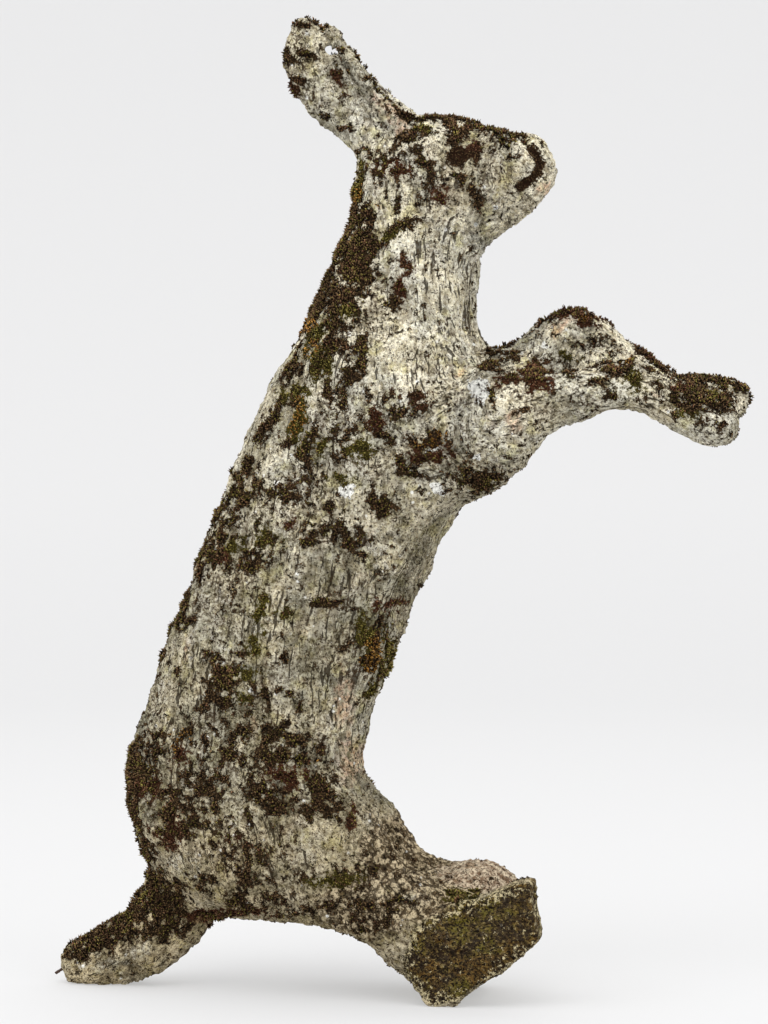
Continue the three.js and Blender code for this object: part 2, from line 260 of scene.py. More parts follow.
# Middle lines of the limbs in the plane of the profile, from the root out, in millimetres, each with the
# radius of the limb and its distance from the middle plane. Fur lies along them.
TRUNK_LINE = [
    (-126, 120), (-125, 165), (-101, 257), (-60, 358), (-26, 440), (-1, 524), (9, 570), (23, 625),
    (26, 668),
]
NEAR_ARM_LINE = [
    (-21, 500), (24, 454), (58, 445), (101, 461), (136, 470), (168, 477), (199, 479), (245, 454),
]
FAR_ARM_LINE = [
    (-21, 500), (24, 455), (65, 466), (107, 494), (141, 515), (192, 488), (215, 477), (263, 470),
]
LIMB_LINES = {
    "trunk": (TRUNK_LINE, 80, 0),
    "head": ([(14, 655), (48, 646), (72, 646), (98, 653), (118, 660)], 42, 0),
    "near_ear": ([(2, 677), (-28, 703), (-52, 727), (-67, 760)], 22, -14),
    "far_ear": ([(7, 675), (-25, 703), (-46, 727), (-60, 760)], 20, 14),
    "near_arm": (NEAR_ARM_LINE, 30, -24),
    "far_arm": (FAR_ARM_LINE, 30, 24),
    "hind_leg": ([(-97, 133), (-51, 111), (-7, 80), (36, 55), (72, 60)], 45, 0),
    "tail": ([(-140, 125), (-176, 72), (-199, 39), (-222, 27), (-258, 16)], 26, 0),
}
LINE_STEP = 6.0
FUR_LEAN = 0.25


def smooth_line(corners):
    """A round curve through the corners, with its points a few millimetres apart."""
    ends = [2 * corners[0] - corners[1], *corners, 2 * corners[-1] - corners[-2]]
    points = []
    for before, start, end, after in zip(ends, ends[1:], ends[2:], ends[3:]):
        count = max(2, round(np.linalg.norm(end - start) / LINE_STEP))
        for share in np.arange(count) / count:
            twist = share * (3 * start - before - 3 * end + after)
            bend = share * (2 * before - 5 * start + 4 * end - after + twist)
            points.append(start + 0.5 * share * (end - before + bend))
    return np.array(points + [corners[-1]])


def along_line(line, places, endless=True):
    """How far along a line and how far beside it each place lies, and its distance from the line. An
    endless line runs on straight at both ends."""
    runs = line[1:] - line[:-1]
    lengths = np.linalg.norm(runs, axis=1)
    starts = np.concatenate([[0], np.cumsum(lengths)[:-1]])
    along = np.zeros(len(places))
    beside = np.zeros(len(places))
    gap = np.full(len(places), np.inf)
    for index, (run, length) in enumerate(zip(runs, lengths)):
        away = places - line[index]
        share = away @ run / length**2
        if index > 0 or not endless:
            share = np.maximum(share, 0)
        if index + 1 < len(runs) or not endless:
            share = np.minimum(share, 1)
        rest = away - share[:, None] * run
        distance = np.linalg.norm(rest, axis=1)
        nearer = distance < gap
        side = (rest[:, 0] * run[1] - rest[:, 1] * run[0]) / length
        gap = np.where(nearer, distance, gap)
        along = np.where(nearer, starts[index] + share * length, along)
        beside = np.where(nearer, side, beside)
    return along, beside, gap


def combed(points):
    """Points of the hare as if it were stretched out straight: along the limb, beside it, and across."""
    places = points[:, [0, 2]] / MM
    across = points[:, 1] / MM
    weights = np.zeros(len(points))
    total = np.zeros((len(points), 2))
    trunk = smooth_line(np.array(TRUNK_LINE, float))
    for corners, radius, offset in LIMB_LINES.values():
        line = smooth_line(np.array(corners, float))
        along, beside, gap = along_line(line, places)
        if corners is TRUNK_LINE:
            beside = beside + FUR_LEAN * along
        root_along, root_beside, _ = along_line(trunk, line[:1])
        gap = np.hypot(gap, across - offset) / radius
        weight = np.exp(-7 * np.minimum(gap, 8))
        total += weight[:, None] * np.stack([along + root_along, beside + root_beside], axis=1)
        weights += weight
    total /= np.maximum(weights, 1e-30)[:, None]
    return np.column_stack([total, across])


def cells_of(points, spacing, seed):
    """For each point, the distance to the nearest of many scattered dots and that dot's own number."""
    place = points / spacing
    cell = np.floor(place).astype(np.int64)
    nearest = np.full(len(points), 9.0)
    number = np.zeros(len(points))
    for step in product((-1, 0, 1), repeat=3):
        other = cell + np.array(step)
        dot = other + np.stack([scattered(other, seed + axis) for axis in range(3)], axis=1)
        gap = np.linalg.norm(place - dot, axis=1)
        nearer = gap < nearest
        nearest = np.where(nearer, gap, nearest)
        number = np.where(nearer, scattered(other, seed + 3), number)
    return nearest, number


def rise(values, low, high):
    """Zero below low, one above high, and a smooth rise between them, as ramp has it for sockets."""
    share = np.clip((values - low) / (high - low), 0, 1)
    return share * share * (3 - 2 * share)


# Patches as the view shows them: (from the left, from the top, half length, half width), in pixels, and
# for those that don't lie level their turn clockwise, in degrees.
BROWN_MOSS = [
    (312, 18, 8, 4), (302, 28, 6, 5), (321, 28, 4, 5), (288, 38, 5, 13, 8), (288, 58, 5, 12, -8),
    (306, 54, 15, 5), (343, 51, 5, 8), (302, 78, 9, 5, 20), (325, 113, 9, 5, 10), (347, 128, 6, 3),
    (365, 69, 3, 6, -30), (369, 79, 5, 5), (379, 87, 9, 2.5, 50), (385, 97, 8, 3, 55),
    (397, 111, 9, 5, 40), (413, 119, 14, 4, 25), (435, 124, 14, 4, 8), (453, 127, 12, 5),
    (461, 134, 16, 8), (458, 143, 9, 5), (483, 131, 14, 5, 8), (504, 136, 16, 6, 14),
    (522, 142, 8, 4, 20), (413, 137, 18, 7), (398, 208, 4, 10), (481, 208, 4, 9),
    (511, 148, 4, 10, -30), (516, 160, 4, 9, 10), (458, 177, 6, 5), (471, 190, 6, 4),
    (372, 240, 26, 14), (364, 258, 27, 14), (358, 277, 27, 14), (350, 295, 28, 13), (343, 311, 28, 12),
    (335, 328, 24, 12), (367, 213, 12, 14), (395, 228, 25, 7, -8), (392, 304, 11, 8), (362, 345, 7, 18),
    (361, 366, 7, 18), (346, 352, 12, 10), (335, 345, 12, 12), (350, 374, 12, 6), (277, 407, 5, 20, 25),
    (307, 457, 10, 11), (294, 440, 9, 12), (398, 411, 8, 7), (386, 436, 17, 9, 5), (398, 461, 10, 14),
    (411, 474, 15, 6, 10), (490, 365, 12, 8), (494, 394, 9, 5, 30), (482, 478, 26, 15, -8),
    (252, 465, 6, 17, 25), (259, 488, 13, 12), (284, 497, 17, 13), (243, 497, 7, 14, 20),
    (222, 510, 6, 20, 25), (226, 537, 14, 12), (236, 522, 13, 7), (219, 557, 12, 13),
    (249, 570, 23, 8, 5), (202, 573, 5, 14, 22), (382, 505, 19, 11, 8), (325, 508, 9, 6),
    (340, 522, 8, 6), (325, 530, 11, 6), (311, 544, 9, 6), (348, 541, 17, 7), (362, 552, 9, 5, 20),
    (186, 599, 5, 13, 22), (189, 627, 6, 9), (173, 633, 4, 13, 20), (165, 656, 4, 7, 20),
    (177, 670, 4, 7), (240, 590, 6, 4), (204, 652, 5, 5), (219, 658, 10, 9), (226, 672, 14, 10),
    (240, 641, 3, 3), (241, 655, 4, 5), (283, 655, 4, 6), (325, 606, 16, 5, -8), (229, 684, 18, 11),
    (228, 704, 13, 11), (247, 705, 10, 11), (203, 707, 8, 7), (267, 698, 6, 11), (288, 694, 11, 7),
    (300, 706, 3.5, 13), (244, 731, 7, 9), (272, 733, 15, 12), (292, 739, 18, 12), (280, 757, 18, 12),
    (303, 760, 14, 13), (319, 792, 11, 24), (312, 812, 10, 10), (323, 752, 5, 12), (158, 736, 9, 8),
    (158, 755, 9, 14), (192, 768, 6, 8), (204, 740, 6, 10), (146, 770, 9, 13), (177, 794, 20, 9),
    (168, 812, 9, 10), (192, 822, 14, 9), (212, 809, 10, 10), (230, 757, 8, 17), (227, 778, 10, 9),
    (254, 794, 8, 17, -10), (270, 806, 13, 14), (246, 815, 6, 13), (134, 752, 5, 17), (134, 792, 5, 22),
    (142, 826, 5, 18, -10), (215, 878, 14, 9), (204, 888, 7, 6), (243, 871, 9, 8), (183, 890, 5, 8),
    (245, 894, 7, 5), (215, 848, 4, 16), (350, 817, 7, 12), (250, 842, 7, 5), (377, 902, 38, 5, 4),
    (148, 858, 9, 34, -5), (155, 890, 14, 26), (163, 908, 26, 26), (140, 920, 30, 15, -20),
    (119, 931, 30, 13, -30), (101, 944, 26, 11, -25), (87, 953, 12, 7, -10), (162, 928, 24, 14),
    (140, 936, 18, 7), (178, 902, 12, 20), (138, 800, 8, 40), (136, 762, 8, 26), (150, 776, 12, 22),
    (186, 925, 8, 6), (360, 186, 26, 7, 94), (356, 258, 48, 20, 108), (386, 160, 12, 7, 20),
    (400, 173, 12, 6, -10), (418, 165, 10, 6), (365, 150, 8, 5), (697, 396, 28, 13, 4),
    (722, 402, 15, 11), (690, 408, 18, 9, 10), (352, 222, 26, 9, 104), (341, 252, 26, 12, 112),
    (328, 282, 26, 13, 118), (314, 310, 24, 13, 122), (402, 117, 16, 5, 24), (424, 123, 16, 6, 5),
    (446, 125, 18, 7), (470, 127, 18, 8), (495, 131, 18, 6, 8), (516, 138, 14, 5, 18),
    (142, 901, 26, 11, -38), (119, 916, 26, 11, -28), (97, 930, 22, 9, -30), (80, 943, 12, 6, -40),
    (146, 862, 7, 30, -4), (131, 780, 6, 44), (268, 425, 28, 7, 115), (236, 486, 30, 5, 116),
    (205, 556, 30, 5, 112), (180, 620, 26, 4, 112), (296, 365, 24, 7, 118), (458, 141, 9, 7),
    (548, 318, 10, 4, -20), (533, 327, 14, 3, -45), (512, 353, 14, 3.5, -20), (494, 351, 9, 4),
    (516, 361, 10, 4), (607, 364, 17, 5, -5), (616, 374, 15, 7), (571, 378, 9, 4),
    (566, 370, 13, 3, -15), (616, 395, 9, 4), (653, 363, 8, 5), (664, 368, 6, 4), (485, 369, 7, 8),
    (698, 378, 28, 6, 2), (722, 384, 16, 5, 12), (739, 392, 7, 4, 40), (675, 398, 8, 10),
    (656, 384, 9, 4, 30), (591, 367, 8, 4, -10), (630, 364, 8, 4),
]
RED_MOSS = [
    (297, 90, 6, 8), (438, 195, 8, 6), (398, 172, 12, 7), (385, 164, 14, 9), (339, 84, 12, 5, 65),
    (474, 153, 9, 9), (406, 270, 6, 14, 5), (403, 291, 6, 15), (376, 422, 10, 12, 10),
    (411, 392, 21, 4, -5), (415, 400, 18, 3, 5), (428, 456, 18, 9), (291, 523, 8, 5),
    (385, 607, 15, 7, -10), (288, 776, 22, 13), (151, 787, 11, 14), (174, 833, 17, 14),
    (233, 836, 6, 6), (588, 320, 10, 8), (640, 352, 18, 7, 25), (537, 375, 15, 16), (572, 312, 28, 6),
    (245, 911, 30, 4), (508, 379, 13, 7), (224, 556, 5, 12, 10), (181, 755, 9, 13),
    (210, 915, 26, 4, -5), (352, 820, 7, 16), (682, 388, 12, 5),
]
DIFFUSE_MOSS = [
    (337, 76, 11, 17, -15), (342, 95, 6, 13), (384, 165, 20, 18), (410, 158, 17, 14),
    (423, 176, 12, 22, 5), (357, 645, 14, 11), (371, 634, 10, 10), (366, 872, 14, 8, 20),
    (462, 176, 11, 9), (600, 384, 10, 7), (344, 394, 31, 18), (345, 300, 34, 40), (695, 402, 34, 18),
    (725, 398, 14, 12), (480, 478, 32, 20, -8), (330, 440, 40, 22), (290, 490, 30, 26),
    (340, 530, 34, 18), (200, 800, 46, 44), (280, 770, 44, 44), (372, 918, 34, 18),
    (335, 880, 40, 16, 5), (265, 903, 45, 9), (332, 906, 40, 8), (722, 430, 16, 7, 10),
    (245, 860, 40, 30), (240, 545, 44, 30), (235, 690, 30, 34), (410, 400, 30, 14), (475, 192, 16, 12),
    (515, 155, 10, 16), (330, 800, 18, 30), (430, 450, 26, 20), (155, 745, 16, 22),
    (376, 640, 14, 44, 10), (600, 345, 26, 12),
]
OLIVE_MOSS = [
    (361, 181, 5, 22, 6), (425, 134, 9, 6), (319, 340, 11, 16), (319, 358, 11, 22, 5),
    (298, 394, 16, 10), (300, 422, 8, 26, 5), (323, 449, 8, 10), (361, 452, 10, 12), (340, 478, 14, 8),
    (265, 540, 24, 9), (232, 548, 12, 8), (261, 612, 8, 21, 5), (281, 613, 10, 4, -5),
    (365, 630, 7, 18), (388, 648, 7, 15, 10), (377, 670, 8, 18, 12), (369, 690, 5, 10, 5),
    (246, 673, 15, 9), (245, 700, 8, 9), (631, 383, 11, 13), (690, 412, 12, 7), (712, 396, 8, 5),
    (333, 882, 26, 7), (456, 899, 15, 7), (474, 893, 8, 4, -20), (572, 356, 9, 4), (253, 647, 8, 9),
    (160, 735, 7, 6), (345, 312, 12, 9), (390, 236, 14, 6, -12),
]
ORANGE_MOSS = [
    (582, 316, 8, 4), (432, 440, 14, 9), (181, 737, 16, 8), (318, 348, 8, 18, 4), (301, 416, 7, 22, 8),
    (370, 655, 9, 16, 10), (362, 190, 4, 12, 6), (322, 758, 4, 8), (310, 325, 6, 12, 20),
    (298, 402, 8, 8), (381, 203, 2, 2), (240, 668, 8, 5), (628, 364, 5, 4), (175, 748, 7, 7),
]
SPARSE_MOSS = [
    (344, 394, 31, 18), (330, 425, 30, 26), (381, 95, 10, 34, -40), (330, 780, 24, 40),
    (200, 790, 70, 70), (290, 770, 60, 60), (250, 860, 60, 40), (325, 885, 55, 22, 5),
    (380, 922, 30, 24), (385, 870, 40, 36), (240, 540, 60, 46), (240, 690, 44, 44), (350, 300, 52, 60),
    (470, 165, 44, 34, 10), (400, 165, 34, 36), (690, 400, 60, 24, 5), (540, 372, 50, 20),
    (615, 378, 50, 20), (300, 70, 18, 50), (440, 455, 60, 34), (290, 500, 60, 40), (330, 535, 50, 24),
    (360, 640, 30, 50, 10), (140, 925, 60, 24, -25), (390, 420, 30, 40), (440, 400, 40, 14),
    (230, 600, 50, 40), (165, 640, 14, 60, 15), (412, 915, 18, 26), (230, 740, 60, 40),
    (420, 190, 40, 26), (500, 380, 30, 20), (350, 460, 60, 30), (720, 434, 26, 13, 10),
    (290, 902, 90, 14), (150, 690, 16, 60, 12),
]
PALE_CRUST = [
    (310, 68, 13, 8), (308, 38, 10, 8), (345, 50, 9, 36, -36), (316, 97, 15, 9, 20), (390, 203, 16, 20),
    (430, 160, 14, 10), (500, 165, 14, 10, 30), (455, 290, 26, 50), (430, 250, 26, 18),
    (350, 340, 10, 8), (343, 497, 13, 13), (440, 360, 26, 24), (500, 455, 12, 8),
    (196, 648, 14, 24, 15), (231, 645, 10, 10), (216, 594, 16, 10), (199, 757, 8, 8),
    (190, 782, 10, 12), (252, 692, 9, 10), (162, 690, 7, 28, 14), (380, 555, 26, 22),
    (560, 335, 26, 12, -20), (592, 345, 22, 12, 10), (656, 392, 10, 6), (738, 393, 8, 8),
    (384, 104, 30, 6, 51), (645, 372, 14, 5, 20), (345, 735, 18, 50), (275, 475, 10, 8),
    (440, 590, 8, 16, 20), (106, 966, 26, 6, -5), (135, 952, 18, 7, -20), (290, 450, 8, 10),
    (415, 900, 18, 10), (256, 622, 40, 16), (225, 800, 12, 14), (184, 862, 16, 14), (232, 815, 12, 14),
    (462, 330, 24, 20), (448, 488, 14, 6),
]
WHITE_SPOTS = [
    (476, 391, 15, 12, 20), (345, 492, 7, 10), (477, 224, 3, 2), (497, 210, 3, 2), (543, 346, 4, 3),
    (387, 142, 3, 2), (277, 488, 4, 4), (434, 448, 4, 4), (481, 452, 6, 4), (440, 487, 6, 5),
    (252, 690, 3, 3),
]
PINK_STAINS = [
    (378, 98, 16, 6, 55), (389, 113, 18, 8, 50), (399, 127, 14, 9, 45), (546, 192, 10, 4, -50),
    (655, 393, 6, 3), (512, 424, 9, 12), (297, 92, 6, 8, 20), (381, 203, 3, 3), (412, 397, 5, 3),
    (346, 700, 10, 34), (205, 917, 20, 5, -10), (292, 523, 6, 4), (350, 760, 14, 24),
    (560, 326, 14, 7, -20), (458, 371, 4, 6), (188, 648, 5, 14, 10), (252, 722, 6, 7),
]
GREYER = [(320, 75, 50, 72), (600, 414, 90, 20, 8), (282, 400, 90, 24, 115), (470, 170, 60, 40)]
CUTS_SEEN = [
    (345, 690, 36, 90), (400, 600, 24, 60, 15), (350, 590, 50, 36), (452, 290, 34, 56),
    (440, 380, 40, 50), (270, 620, 40, 40), (430, 240, 20, 40), (200, 680, 40, 40), (180, 760, 30, 50),
    (330, 350, 40, 40), (235, 850, 60, 30),
]
CRUMBLED = [(400, 860, 44, 60), (430, 905, 30, 34), (370, 905, 60, 30), (500, 877, 50, 20)]
BARE_STUMP = [(480, 876, 48, 19, 6)]
FILM_CORNERS = [
    (406, 952), (411, 934), (428, 919), (450, 906), (484, 897), (520, 882), (542, 877), (541, 910),
    (545, 943), (522, 958), (502, 972), (487, 987), (464, 1000), (440, 1006), (416, 994), (402, 972),
]
RIM_WIDTH = 16
SLANT_LEFT = (458, 545)
SLANT_DOWN = (1003, 942)
EYE_SEEN = [(457, 157, 12, 12)]
EYE_CORNER_SEEN = [(472, 154, 9, 9)]
MOUTH_SEEN = [(531, 148), (537, 156), (540, 166), (535, 176), (528, 183), (520, 187)]
MOUTH_WIDTH = 7.0
EAR_GROOVE_SEEN = [(343, 56), (350, 73), (360, 91), (371, 108), (383, 123), (393, 133)]
GROOVE_WIDTH = 3.2
EAR_GAP_SEEN = [(331, 50, 12, 10, 10)]
STRAND_LEFT = 334.5
STRAND_WIDTH = 2.2

# Carved depths, in millimetres
EYE_DEPTH = 1.2
MOUTH_DEPTH = 3.2
GROOVE_DEPTH = 2.6


def cover_of(left, down, patches):
    """How deep inside the patches each place lies: 1 at a middle, 0 at a rim, and less outside."""
    cover = np.full(len(left), -1.0)
    for middle_left, middle_down, long, wide, *turn in patches:
        turned = math.radians(sum(turn))
        beside_it = left - middle_left
        below_it = down - middle_down
        length = (beside_it * math.cos(turned) + below_it * math.sin(turned)) / long
        width = (below_it * math.cos(turned) - beside_it * math.sin(turned)) / wide
        cover = np.maximum(cover, 1 - np.hypot(length, width))
    return cover


def near_line(left, down, corners, width):
    """1 on a line of the view, falling to 0 at that many pixels beside it."""
    _, _, gap = along_line(np.array(corners, float), np.column_stack([left, down]), endless=False)
    return np.maximum(0, 1 - gap / width)


def inside(left, down, corners):
    """True where a place lies inside the outline."""
    within = np.zeros(len(left), bool)
    for (left_a, down_a), (left_b, down_b) in zip(corners, corners[1:] + corners[:1]):
        level = (down_a > down) != (down_b > down)
        crossing = left_a + (down - down_a) * (left_b - left_a) / (down_b - down_a + 1e-9)
        within ^= level & (left < crossing)
    return within


def seen_as_near(points):
    """Where the view shows points, with those of the far side brought to the near side."""
    return seen_at(points * (1, 0, 1) - np.abs(points) * (0, 1, 0))


def growth(points, fur):
    """Where moss, crust, film, stain and bare stone lie, each from 0 to 1. The far side is like the near
    one, but out of step with it."""
    far = rise(points[:, 1], 6 * MM, 36 * MM)
    left, down = seen_as_near(points)
    eyes = np.maximum(cover_of(left, down, EYE_SEEN), cover_of(left, down, EYE_CORNER_SEEN))
    mouth = near_line(left, down, MOUTH_SEEN, MOUTH_WIDTH)
    groove = rise(near_line(left, down, EAR_GROOVE_SEEN, GROOVE_WIDTH), 0.1, 0.7)
    gap = rise(cover_of(*seen_at(points), EAR_GAP_SEEN), 0, 0.4)
    strand = gap * np.maximum(0, 1 - np.abs(seen_at(points)[0] - STRAND_LEFT) / STRAND_WIDTH)
    ragged = 3 * waves(points, 6 * MM, 66)
    rim = near_line(left, down, FILM_CORNERS + FILM_CORNERS[:1], RIM_WIDTH)
    on_block = rise(-points[:, 1], 28 * MM, 36 * MM) * inside(left + ragged, down + ragged, FILM_CORNERS)
    left += far * 36 * waves(points, 75 * MM, 61)
    left += 6 * waves(points, 13 * MM, 54) + 3 * waves(points, 5 * MM, 55)
    down += far * 42 * waves(points, 85 * MM, 62)
    down += 6 * waves(points, 13 * MM, 56) + 3 * waves(points, 5 * MM, 57)
    behind = rise(points[:, 1], -14 * MM, 10 * MM) * (1 - rise(left, 390, 440))
    down += behind * (16 * waves(points, 26 * MM, 59) + 8 * waves(points, 11 * MM, 60))
    clumps = 0.6 * waves(fur, [8, 5, 5], 63) + 0.55 * waves(points, 3.6 * MM, 64)
    clumps += 0.35 * waves(points, 1.9 * MM, 65)
    kinds = {"brown": BROWN_MOSS, "red": RED_MOSS, "olive": OLIVE_MOSS, "orange": ORANGE_MOSS}
    covers = {kind: cover_of(left, down, patches) for kind, patches in kinds.items()}
    dense = np.maximum.reduce(list(covers.values()))
    diffuse = np.minimum(cover_of(left, down, DIFFUSE_MOSS), 0.4)
    sparse = rise(cover_of(left, down, SPARSE_MOSS), -0.1, 0.5)
    dark = np.maximum(eyes, mouth - 0.2)
    cover = np.maximum(dense + 0.9 * clumps, 0.9 * diffuse + 1.1 * clumps - 0.22)
    cover = np.maximum(cover, 0.25 * sparse + 1.25 * clumps - 0.62)
    cover = np.maximum(cover * (1 - rise(eyes, 0, 0.3)), 3 * dark + 0.3 * clumps)
    cloud = waves(points, 12 * MM, 58)
    thin = 0.55 * sparse + 0.5 * clumps + 0.3 * cloud - 0.1
    # Paler towards the top: partly paler cement, partly painted light falling from above
    high = rise(points[:, 2] + 30 * MM * waves(points, 60 * MM, 67), 300 * MM, 500 * MM)
    bare = (1 - on_block) * (1 - gap)
    behind_face = rise(points[:, 1], -30 * MM, -22 * MM)

    def in_patches(patches, fray, low, high):
        return rise(cover_of(left, down, patches) + fray, low, high)

    grown = {
        "moss": rise(cover, -0.02, 0.42) * bare,
        "deep": rise(np.maximum(dense, 0.5 * diffuse) + 0.4 * clumps, 0, 0.7),
        "dark": rise(dark, 0, 0.3),
        "stain": np.maximum(rise(np.maximum(cover, thin), -0.35, 0.4), groove) * bare,
        "crust": in_patches(PALE_CRUST, 0.7 * clumps, -0.1, 0.5),
        "white": in_patches(WHITE_SPOTS, 0.6 * clumps, 0, 0.25),
        "pink": in_patches(PINK_STAINS, 0.6 * clumps, -0.1, 0.5),
        "cuts": in_patches(CUTS_SEEN, 0.3 * cloud, -0.2, 0.4),
        "crumbled": in_patches(CRUMBLED, 0.4 * cloud, -0.1, 0.4) * (1 - on_block),
        "film": on_block,
        "rim": rim,
        "strand": strand,
        "stump": in_patches(BARE_STUMP, 0.3 * clumps, -0.1, 0.2) * behind_face,
        "pale": high * (1 - 0.6 * in_patches(GREYER, 0, -0.1, 0.3)),
        "earthy": 1 - rise(points[:, 2], 50 * MM, 210 * MM),
        "gap": gap,
    }
    for kind in ("red", "olive", "orange"):
        tinted = rise(covers[kind] - dense + 0.35 * cloud, -0.4, 0.0) * rise(covers[kind], -0.4, 0.0)
        grown[kind] = tinted if kind == "red" else tinted * (1 - grown["dark"])
    return grown


def relief(points, fur, grown):
    """How far the worn surface stands out, in metres, and how deep in a hollow each point lies."""
    lumps = 1.5 * waves(points, 46 * MM, 11) + 1.3 * waves(points, 19 * MM, 12)
    lumps += 0.9 * waves(points, 9 * MM, 10)
    long_locks = waves(fur, [42, 8.5, 8.5], 13)
    locks = waves(fur + 3 * long_locks[:, None], [21, 4.6, 4.6], 14)
    strands = waves(fur, [13, 2.6, 2.6], 15)
    wear = rise(waves(points, 52 * MM, 16), -0.5, 0.6)
    cut_lines = 1 - rise(np.abs(waves(fur, [19, 6, 6], 17)), 0, 0.2)
    cuts = cut_lines * rise(waves(fur, [15, 9, 9], 18), -0.2, 0.3)
    crumb_gap, crumb_number = cells_of(points, 4.8 * MM, 21)
    crumbs = (0.55 - crumb_gap) * (0.4 + crumb_number)
    pits_gap, pits_number = cells_of(points, 11 * MM, 31)
    pits = rise(0.36 - pits_gap, 0, 0.16) * (pits_number > 0.5)
    crumbs = crumbs * (1.7 + 1.2 * grown["crumbled"])
    skin = long_locks + (0.7 + 0.6 * wear) * locks + 0.6 * strands + crumbs - 2.0 * cuts - 2.0 * pits
    smooth = np.maximum(grown["film"], 0.6 * grown["stump"])
    plates = 0.7 * rise(grown["crust"], 0.35, 0.6)
    rough_cut = 0.9 * crumbs + 0.7 * waves(points, 7 * MM, 19) + 0.5 * waves(points, 3 * MM, 20)
    shape = lumps * (1 - 0.8 * smooth) + skin * (1 - smooth) + rough_cut * smooth + plates
    cushion_gap, cushion_number = cells_of(points, CUSHION_SIZE, 41)
    cushions = grown["moss"] * (0.2 + (1.5 + 1.5 * cushion_number) * np.maximum(0, 0.75 - cushion_gap))
    hollow = np.clip(-(skin - 0.1) / 2.6, 0, 1) * (1 - grown["film"])
    raised = (shape * (1 - 0.5 * grown["moss"]) + cushions) * (1 - grown["gap"]) + 1.1 * grown["gap"]
    raised += 3.4 * grown["strand"]
    return raised * MM, hollow


def carving(points, normals):
    """The sockets of the eyes and the grooves of the mouth and ears, as depths, on both sides alike."""
    left, down = seen_as_near(points)
    facing = rise(np.abs(normals[:, 1]), 0.1, 0.4)
    eyes = rise(cover_of(left, down, EYE_SEEN), 0, 0.6)
    mouth = rise(near_line(left, down, MOUTH_SEEN, MOUTH_WIDTH), 0, 0.8)
    ears = rise(near_line(left, down, EAR_GROOVE_SEEN, GROOVE_WIDTH), 0, 0.8)
    return (EYE_DEPTH * eyes + MOUTH_DEPTH * mouth + GROOVE_DEPTH * ears) * facing * MM


def vertices_of(mesh):
    points = np.empty(len(mesh.vertices) * 3)
    mesh.vertices.foreach_get("co", points)
    normals = np.empty(len(mesh.vertices) * 3)
    mesh.vertices.foreach_get("normal", normals)
    return points.reshape(-1, 3), normals.reshape(-1, 3)


def reshape(piece, kind, **settings):
    """Runs one modifier on a piece and keeps its result as the piece's mesh."""
    modifier = piece.modifiers.new(kind.lower(), kind)
    for name, value in settings.items():
        setattr(modifier, name, value)
    graph = bpy.context.evaluated_depsgraph_get()
    mesh = bpy.data.meshes.new_from_object(piece.evaluated_get(graph))
    piece.modifiers.clear()
    piece.data = mesh


def lifted(points):
    """How far the underside of the far hind foot is lifted, to slant like the cut face before it."""
    left, down = seen_at(points)
    below = np.maximum(down + 3 - np.interp(left, SLANT_LEFT, SLANT_DOWN), 0)
    share = rise(points[:, 1], FACE_DEPTH, -10 * MM) * (left > SLANT_LEFT[0]) * (left < SLANT_LEFT[1])
    return below * share * CAMERA_DISTANCE / FOCAL_PIXELS


def weathered_stone():
    """The mesh of the stone, and where each of its points lay before the surface was roughened."""
    stone = bpy.data.objects.new("hare_stone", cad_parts["hare"].data.copy())
    bpy.context.collection.objects.link(stone)
    reshape(stone, "REMESH", mode="VOXEL", voxel_size=FIRST_VOXEL)
    points, _ = vertices_of(stone.data)
    left, down = seen_at(points)
    on_edge = (points[:, 1] < FACE_DEPTH) & (left > SHARP_FROM) & (points[:, 2] < FEET_HEIGHT)
    sharp = on_edge | (cover_of(left, down, EAR_GAP_SEEN) > -0.4)
    soft_group = stone.vertex_groups.new(name="soft")
    soft_group.add(np.flatnonzero(~sharp).tolist(), 1.0, "REPLACE")
    soft_group.add(np.flatnonzero(sharp).tolist(), SHARP_SHARE, "REPLACE")
    reshape(stone, "SMOOTH", factor=0.5, iterations=SMOOTHING_ROUNDS, vertex_group="soft")
    reshape(stone, "REMESH", mode="VOXEL", voxel_size=FINE_VOXEL)
    before, normals = vertices_of(stone.data)
    fur = combed(before)
    grown = growth(before, fur)
    raised, _ = relief(before, fur, grown)
    raised += SWELL - carving(before, normals)
    points = before + normals * raised[:, None]
    points[:, 2] = np.maximum(points[:, 2], 0) + lifted(points)
    stone.data.vertices.foreach_set("co", points.ravel())
    stone.data.update()
    stone.data.calc_loop_triangles()
    ratio = MOST_TRIANGLES / len(stone.data.loop_triangles)
    tree = KDTree(len(points))
    for index, point in enumerate(points):
        tree.insert(point, index)
    tree.balance()
    reshape(stone, "DECIMATE", ratio=ratio, use_collapse_triangulate=True)
    mesh = stone.data
    bpy.data.objects.remove(stone)
    nearest = [tree.find(vertex.co)[1] for vertex in mesh.vertices]
    return mesh, before[nearest]


def painted(mesh, before):
    """Keeps on the mesh what its material reads: growth, hollows and the lie of the fur."""
    fur = combed(before)
    grown = growth(before, fur)
    _, hollow = relief(before, fur, grown)
    for name, values in {**grown, "hollow": hollow}.items():
        layer = mesh.attributes.new(name, "FLOAT", "POINT")
        layer.data.foreach_set("value", values.astype(np.float32))
    layer = mesh.attributes.new("fur", "FLOAT_VECTOR", "POINT")
    layer.data.foreach_set("vector", (fur * MM).astype(np.float32).ravel())
    mesh.shade_smooth()


def attribute(tree, name, output="Fac"):
    return add(tree, "Attribute", attribute_name=name).outputs[output]


def stretched(place, long, short):
    """A place scaled so that noise read there has marks that long and that wide, in metres."""
    scale = (1 / long, 1 / short, 1 / short)
    return add(place, "Mapping", {"Vector": place, "Scale": scale}).outputs[0]


